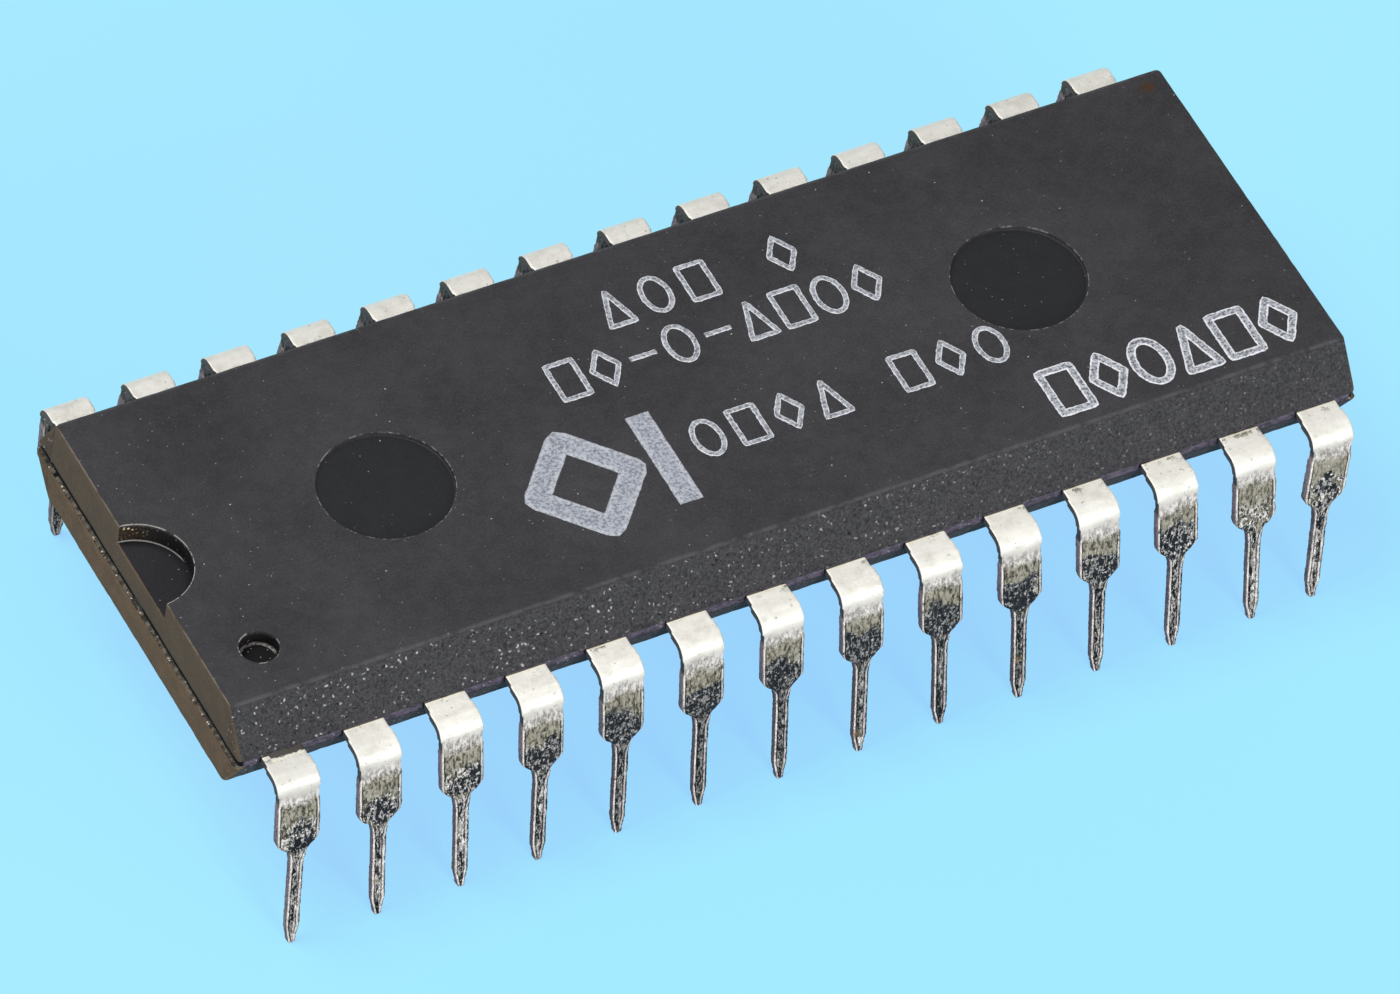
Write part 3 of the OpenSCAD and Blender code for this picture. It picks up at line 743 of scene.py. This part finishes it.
class ChipStageLook(PropertyGroup):
    floor_lit: FloatVectorProperty(name="Floor's lit colour", subtype="COLOR", size=3, min=0, max=1,
                                   description="Linear colour that the light adds to the floor",
                                   default=(0.055, 0.2, 0.03))
    floor_shade: FloatVectorProperty(name="Floor's shade colour", subtype="COLOR", size=3, min=0, max=1,
                                     description="Linear colour of the floor in full shade",
                                     default=(0.332, 0.61, 0.97))
    floor_drift: FloatVectorProperty(name="Floor's second shade", subtype="COLOR", size=3, min=0, max=1,
                                     description="Linear colour that the shade drifts to across the floor",
                                     default=(0.305, 0.595, 0.97))
    azimuth: angle("Azimuth", "Camera's turn from -Y towards -X", 32.33)
    elevation: angle("Elevation", "Camera's height angle", 48.58)
    roll: angle("Roll", "Camera's turn about its own axis", 7.1)
    distance: FloatProperty(name="Distance", description="Camera's distance from the part", unit="LENGTH",
                            default=0.4339)
    lens: size_mm("Lens", "Focal length for a 36 mm sensor", 390.96, 50.0, 1000.0)
    key_power: FloatProperty(name="Key power", description="Power of the large lamp, in watts", default=1.5)
    fill_share: FloatProperty(name="Fill share", description="The front lamp's power over the key lamp's",
                              default=0.8, min=0, max=2)
    world_level: FloatProperty(name="World level", description="Brightness of the surroundings", default=0.38)


class CHIP_OT_body(Operator):
    """Moulded body with its notch, dimple and ejector marks"""
    bl_idname = "chip.body"
    bl_label = "Moulded body"

    def execute(self, context):
        look = context.scene.chip_body
        obj = new_object("block", mesh_data("block", moulded_block(look)))
        above, below = TOP_Z + 1, BOTTOM_Z - 1
        tools = [
            cylinder_tool("cut_notch", NOTCH_X, 0, TOP_Z - NOTCH_DEPTH, above, NOTCH_RADIUS, 96),
            cylinder_tool("cut_dimple", DIMPLE_X, DIMPLE_Y, TOP_Z - DIMPLE_DEPTH, above, DIMPLE_RADIUS, 48),
        ]
        for side in (-1, 1):
            tools.append(cylinder_tool("cut_mark", side * EJECTOR_X, 0, TOP_Z - EJECTOR_DEPTH, above,
                                       EJECTOR_RADIUS, 128))
            tools.append(cylinder_tool("cut_under", side * EJECTOR_X, 0, below, BOTTOM_Z + EJECTOR_DEPTH,
                                       EJECTOR_RADIUS, 128))
        cut_body(obj, tools)
        piece = bake_piece(obj, "moulded_body", moulding_finish(look))
        for face in piece.data.polygons:
            face.use_smooth = True
        piece.data.set_sharp_from_angle(angle=SHARP_ANGLE)
        for tool in tools:
            bpy.data.objects.remove(tool)
        finish_piece(piece, "moulding", "body")
        return {"FINISHED"}


def coat_tree():
    """Lumps and dents of the tin and the solder dip, pushed along the surface's own normals."""
    tree, g, source, target = new_tree(
        "solder_coat", {"Coat": 0.03, "Lumps": 0.045, "Dip height": DIP_Z, "Seed": 0.0})
    place = g.add("GeometryNodeInputPosition").out()
    normal = g.add("GeometryNodeInputNormal").out()
    shifted = g.vector("ADD", place, g.join(source.out("Seed"), 0.0, 0.0))
    z = g.split(place)[2]
    wavy = z + (g.noise(shifted, 1.6, 2.0) - 0.5) * 0.5
    dipped = ((source.out("Dip height") - wavy + 0.1) * 6).clamped()
    lumps = g.noise(g.vector("MULTIPLY", shifted, (2.6, 2.6, 1.3)), 1.0, 3.0, 0.6) - 0.5
    ridges = g.noise(g.vector("MULTIPLY", shifted, (9.0, 9.0, 1.5)), 1.0, 2.0) - 0.5
    dents = g.noise(shifted, 5.0, 3.0) - 0.5
    wide = z.ramp(SHOULDER_LOW_Z, SHOULDER_HIGH_Z)
    thickness = source.out("Coat") * (wide * 1.7 - 0.7)
    push = dipped * (thickness + source.out("Lumps") * (lumps + ridges * 0.6) * (wide * 0.5 + 0.5))
    push = push * z.ramp(0.0, 0.3) + dents * 0.012
    offset = g.vector("SCALE", normal, scale=push)
    moved = g.add("GeometryNodeSetPosition", None, {
        "Geometry": source.out("Geometry"), "Offset": offset}).out()
    smooth = g.add("GeometryNodeSetShadeSmooth", None, {"Geometry": moved}).out()
    close_tree(g, source, target, smooth)
    return tree


def outer_lead_mesh(node):
    """A merged copy of a CAD lead in mm, cut off just inside the moulding."""
    mesh = bmesh.new()
    mesh.from_mesh(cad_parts[node].data)
    bmesh.ops.transform(mesh, matrix=Matrix.Scale(MM, 4), verts=mesh.verts)
    bmesh.ops.remove_doubles(mesh, verts=mesh.verts, dist=MERGE_DISTANCE)
    side = -1 if sum(vert.co.y for vert in mesh.verts) < 0 else 1
    geometry = list(mesh.verts) + list(mesh.edges) + list(mesh.faces)
    result = bmesh.ops.bisect_plane(mesh, geom=geometry, plane_co=(0, side * (HALF_WIDTH - ROOT_KEPT), 0),
                                    plane_no=(0, -side, 0), clear_outer=True)
    rim = [item for item in result["geom_cut"] if isinstance(item, bmesh.types.BMEdge)]
    bmesh.ops.holes_fill(mesh, edges=rim)
    bmesh.ops.recalc_face_normals(mesh, faces=mesh.faces)
    return mesh_data(node + "_outer", mesh)


def measure_widths(mesh):
    """Stores how far each point is from its lead's own middle line, and the half width there, in mm."""
    places = [vert.co * MM for vert in mesh.vertices]
    count = int(FRAME_TOP_Z / WIDTH_STEP) + 3
    spans = [[math.inf, -math.inf] for _ in range(count)]
    for place in places:
        span = spans[max(0, int(place.z / WIDTH_STEP))]
        span[0] = min(span[0], place.x)
        span[1] = max(span[1], place.x)
    known = [i for i, span in enumerate(spans) if span[0] < span[1]]
    middles = {i: (spans[i][0] + spans[i][1]) / 2 for i in known}
    halves = {i: (spans[i][1] - spans[i][0]) / 2 for i in known}
    across = mesh.attributes.new("across", "FLOAT", "POINT")
    half_width = mesh.attributes.new("half_width", "FLOAT", "POINT")
    for i, place in enumerate(places):
        step = place.z / WIDTH_STEP - 0.5
        low = min(max(int(math.floor(step)), known[0]), known[-1])
        high = min(low + 1, known[-1])
        share = min(max(step - low, 0), 1)
        across.data[i].value = place.x - (middles[low] * (1 - share) + middles[high] * share)
        half_width.data[i].value = halves[low] * (1 - share) + halves[high] * share


class CHIP_OT_leads(Operator):
    """Tinned leads with a lumpy solder dip"""
    bl_idname = "chip.leads"
    bl_label = "Tinned leads"

    def execute(self, context):
        look = context.scene.chip_leads
        material = tin_finish(look)
        tree = coat_tree()
        for number, node in enumerate(LEAD_NAMES):
            obj = new_object("work_" + node, outer_lead_mesh(node))
            remesh = obj.modifiers.new("even_faces", "REMESH")
            remesh.mode = "VOXEL"
            remesh.voxel_size = look.voxel
            soften = obj.modifiers.new("soft_edges", "SMOOTH")
            soften.factor = 0.5
            soften.iterations = 1
            nodes_modifier(obj, tree, {"Coat": look.coat, "Lumps": look.lumps, "Dip height": DIP_Z,
                                       "Seed": number * 7.3, "Material": material})
            piece = bake_piece(obj, "tinned_" + node, material)
            measure_widths(piece.data)
            finish_piece(piece, "tinned_lead", node)
        return {"FINISHED"}


def shape_points(kind, centre, width, height):
    """Corner points of a plain shape, and whether its outline closes."""
    w, h = width / 2, height / 2
    turns = [step * math.tau / 40 for step in range(40)]
    outlines = {
        "square": ([(-w, -h), (w, -h), (w, h), (-w, h)], True),
        "triangle": ([(-w, -h), (w, -h), (0, h)], True),
        "diamond": ([(0, -h), (w, 0), (0, h), (-w, 0)], True),
        "ring": ([(w * math.cos(turn), h * math.sin(turn)) for turn in turns], True),
        "dash": ([(-w, 0), (w, 0)], False),
        "post": ([(0, -h), (0, h)], False),
    }
    points, closed = outlines[kind]
    return [(centre[0] + x, centre[1] + y) for x, y in points], closed


def stroke_curve(name, shapes):
    """A curve object with one poly spline for each shape, laid on the body's top."""
    curve = bpy.data.curves.new(name, "CURVE")
    curve.dimensions = "3D"
    for points, closed in shapes:
        spline = curve.splines.new("POLY")
        spline.points.add(len(points) - 1)
        for target, (x, y) in zip(spline.points, points):
            target.co = (x, y, TOP_Z, 1.0)
        spline.use_cyclic_u = closed
    return new_object(name, curve)


def stroke_tree():
    """Flat ragged strokes along curves."""
    tree, g, source, target = new_tree("ink_strokes", {"Stroke": 0.17, "Height": 0.012})
    even = g.add("GeometryNodeResampleCurve", {"mode": "LENGTH"}, {
        "Curve": source.out("Geometry"), "Length": STROKE_STEP}).out()
    ring = g.add("GeometryNodeCurvePrimitiveCircle", None, {
        "Resolution": STROKE_SIDES, "Radius": source.out("Stroke") * 0.5})
    ring_x = g.split(g.add("GeometryNodeInputPosition").out())[0]
    marked = g.add("GeometryNodeStoreNamedAttribute", {"data_type": "FLOAT", "domain": "POINT"}, {
        "Geometry": ring.out(), "Name": "rim", "Value": abs(ring_x) / (source.out("Stroke") * 0.5)}).out()
    tube = g.add("GeometryNodeCurveToMesh", None, {
        "Curve": even, "Profile Curve": marked, "Fill Caps": True}).out()
    place = g.add("GeometryNodeInputPosition").out()
    x, y, z = g.split(place)
    # The round tube becomes a flat stroke with ragged edges.
    ragged = (g.noise(place, 6.0, 3.0, 0.7) - 0.5) * INK_FRAY
    ragged_across = (g.noise(g.vector("ADD", place, (7.0, 3.0, 0.0)), 6.0, 3.0, 0.7) - 0.5) * INK_FRAY
    flat = TOP_Z + ((z - TOP_Z) / source.out("Stroke")) * (source.out("Height") * 2)
    moved = g.add("GeometryNodeSetPosition", None, {
        "Geometry": tube, "Position": g.join(x + ragged, y + ragged_across, flat)}).out()
    smooth = g.add("GeometryNodeSetShadeSmooth", None, {"Geometry": moved}).out()
    close_tree(g, source, target, smooth)
    return tree


PRINT_ROWS = [
    # Weight of line, middle of the first shape, spacing, height, and the shapes in order with their gaps.
    ("fine", (-1.15, 3.5), 1.35, 1.3, ["triangle", "ring", "square", "", "diamond"]),
    ("fine", (-3.6, 1.55), 1.2, 1.35, ["square", "diamond", "dash", "ring", "dash", "triangle", "square",
                                       "ring", "diamond"]),
    ("fine", (-0.9, -1.95), 1.3, 1.3, ["ring", "square", "diamond", "triangle", "", "square", "diamond",
                                       "ring"]),
    ("heavy", (9.4, -4.3), 1.38, 1.6, ["square", "diamond", "ring", "triangle", "square", "diamond"]),
]
# Middle, width and height of the two bold shapes.
BOLD_SHAPES = [("diamond", (-4.9, -2.15), 3.1, 3.5), ("post", (-2.4, -2.15), 0.1, 3.5)]


class CHIP_OT_print(Operator):
    """Rows of plain printed shapes on the top"""
    bl_idname = "chip.print"
    bl_label = "Plain print"

    def execute(self, context):
        look = context.scene.chip_print
        weights = {
            "fine": (look.fine_stroke, ink_finish("fine_ink", 0.75, (92, 94, 100), (176, 180, 188))),
            "heavy": (look.heavy_stroke, ink_finish("heavy_ink", 0.95, (70, 72, 78), (186, 190, 198))),
            "bold": (look.bold_stroke, ink_finish("bold_ink", 0.2, (112, 116, 126), (172, 177, 188))),
        }
        tree = stroke_tree()
        groups = {weight: [] for weight in weights}
        for weight, first, spacing, height, kinds in PRINT_ROWS:
            for place, kind in enumerate(kinds):
                if kind:
                    centre = (first[0] + place * spacing, first[1])
                    groups[weight].append(shape_points(kind, centre, height * SHAPE_WIDTH_SHARE, height))
        for shape in BOLD_SHAPES:
            groups["bold"].append(shape_points(*shape))
        for weight, shapes in groups.items():
            stroke, ink = weights[weight]
            obj = stroke_curve("work_print_" + weight, shapes)
            nodes_modifier(obj, tree, {"Stroke": stroke, "Height": look.ink_height, "Material": ink})
            piece = bake_piece(obj, "print_" + weight, ink)
            finish_piece(piece, "moulding")
        return {"FINISHED"}


def dust_tree():
    """Tiny grains scattered over the upward faces of the body."""
    tree, g, source, target = new_tree("dust", {"Density": 0.12})
    normal = g.add("GeometryNodeInputNormal").out()
    upward = g.split(normal)[2].ramp(0.3, 0.5)
    points = g.add("GeometryNodeDistributePointsOnFaces", None, {
        "Mesh": source.out("Geometry"), "Density": source.out("Density") * upward, "Seed": 11}).out(0)
    grain = g.add("GeometryNodeMeshIcoSphere", None, {"Radius": 0.02, "Subdivisions": 1}).out(0)
    size = g.add("FunctionNodeRandomValue", {"data_type": "FLOAT_VECTOR"},
                 {0: (0.5, 0.5, 0.3), 1: (1.6, 1.2, 0.8), "Seed": 5}).out(0)
    placed = g.add("GeometryNodeInstanceOnPoints", None, {
        "Points": points, "Instance": grain, "Scale": size}).out()
    close_tree(g, source, target, placed)
    return tree


class CHIP_OT_dust(Operator):
    """Dust grains on the moulding"""
    bl_idname = "chip.dust"
    bl_label = "Dust"

    def execute(self, context):
        material = plain_finish("dust", (150, 148, 140), (214, 212, 205), 3.0, 0.7)
        mesh = bpy.data.objects["moulded_body"].data.copy()
        mesh.transform(Matrix.Scale(MM, 4))
        obj = new_object("work_dust", mesh)
        density = context.scene.chip_body.dust_density
        nodes_modifier(obj, dust_tree(), {"Density": density, "Material": material})
        piece = bake_piece(obj, "dust_grains", material)
        finish_piece(piece, "moulding")
        return {"FINISHED"}


class CHIP_OT_inside(Operator):
    """Finishes of the paddle, adhesive, die and wires inside the moulding"""
    bl_idname = "chip.inside"
    bl_label = "Sealed pieces"

    def execute(self, context):
        finishes = {
            "die_paddle": plain_finish("silver_plate", (196, 196, 192), (222, 221, 214), 2.0, 0.3, 0.9),
            "die_attach": plain_finish("attach_epoxy", (120, 120, 124), (150, 150, 152), 6.0, 0.5),
            "die": plain_finish("silicon", (60, 66, 88), (96, 92, 120), 1.5, 0.12, 0.4),
        }
        gold = plain_finish("bond_gold", (214, 170, 80), (236, 196, 104), 8.0, 0.25, 1.0)
        finishes.update({name: gold for name in WIRE_NAMES})
        for name, material in finishes.items():
            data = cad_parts[name].data
            data.materials.clear()
            data.materials.append(material)
        return {"FINISHED"}


def aim(obj, place, target, roll=0.0):
    """Points an object's -Z at a target, with its top towards +Z, then rolls it."""
    direction = (Vector(target) - Vector(place)).normalized()
    turn = direction.to_track_quat("-Z", "Y").to_matrix().to_4x4()
    obj.matrix_world = Matrix.Translation(place) @ turn @ Matrix.Rotation(roll, 4, "Z")


def add_lamp(name, place, size, power, color):
    """A round soft lamp that points at the part."""
    light = bpy.data.lights.new(name, "AREA")
    light.shape = "DISK"
    light.size = size
    light.energy = power
    light.color = color
    aim(new_object(name, light), place, LAMP_TARGET)


class CHIP_OT_stage(Operator):
    """Pale floor, soft studio light and the camera"""
    bl_idname = "chip.stage"
    bl_label = "Stage"

    def execute(self, context):
        scene = context.scene
        look = scene.chip_stage
        mesh = bmesh.new()
        bmesh.ops.create_grid(mesh, x_segments=1, y_segments=1, size=FLOOR_HALF)
        data = mesh_data("floor", mesh)
        data.materials.append(floor_finish(look))
        floor = new_object("floor", data)
        world = bpy.data.worlds.new("studio")
        world.use_nodes = True
        g = Graph(world.node_tree)
        background = world.node_tree.nodes["Background"]
        g.feed(background.inputs["Color"], (0.95, 0.97, 1.0, 1.0))
        background.inputs["Strength"].default_value = look.world_level
        scene.world = world
        add_lamp("key", KEY_PLACE, KEY_WIDTH, look.key_power, (1.0, 0.98, 0.95))
        add_lamp("fill", FILL_PLACE, FILL_WIDTH, look.key_power * look.fill_share, (1.0, 0.99, 0.97))
        scene.view_settings.view_transform = "Standard"
        camera_data = bpy.data.cameras.new("camera")
        camera_data.lens = look.lens
        camera_data.sensor_width = SENSOR_WIDTH_MM
        camera_data.clip_start = 0.01
        camera_data.clip_end = 10
        camera = new_object("camera", camera_data)
        target = Vector(VIEW_TARGET)
        back = Vector((-math.sin(look.azimuth) * math.cos(look.elevation),
                       -math.cos(look.azimuth) * math.cos(look.elevation), math.sin(look.elevation)))
        aim(camera, target + back * look.distance, target, look.roll)
        scene.camera = camera
        return {"FINISHED"}


class CHIP_PT_panel(Panel):
    bl_idname = "CHIP_PT_panel"
    bl_label = "Chip package"
    bl_space_type = "VIEW_3D"
    bl_region_type = "UI"
    bl_category = "Chip"

    def draw(self, context):
        for operator in OPERATORS:
            self.layout.operator(operator.bl_idname)
        for group in ("chip_body", "chip_leads", "chip_print", "chip_stage"):
            settings = getattr(context.scene, group)
            for name in settings.bl_rna.properties.keys():
                if name not in ("rna_type", "name"):
                    self.layout.prop(settings, name)


GROUPS = {"chip_body": ChipBodyLook, "chip_leads": ChipLeadLook, "chip_print": ChipPrintLook,
          "chip_stage": ChipStageLook}
OPERATORS = [CHIP_OT_body, CHIP_OT_leads, CHIP_OT_print, CHIP_OT_dust, CHIP_OT_inside, CHIP_OT_stage]
CLASSES = [*GROUPS.values(), *OPERATORS, CHIP_PT_panel]


def register():
    for item in CLASSES:
        bpy.utils.register_class(item)
    for name, group in GROUPS.items():
        setattr(bpy.types.Scene, name, PointerProperty(type=group))


def unregister():
    for name in GROUPS:
        delattr(bpy.types.Scene, name)
    for item in reversed(CLASSES):
        bpy.utils.unregister_class(item)


def main():
    register()
    bpy.ops.chip.body()
    bpy.ops.chip.leads()
    bpy.ops.chip.print()
    bpy.ops.chip.dust()
    bpy.ops.chip.inside()
    bpy.ops.chip.stage()


if __name__ == "__main__":
    main()
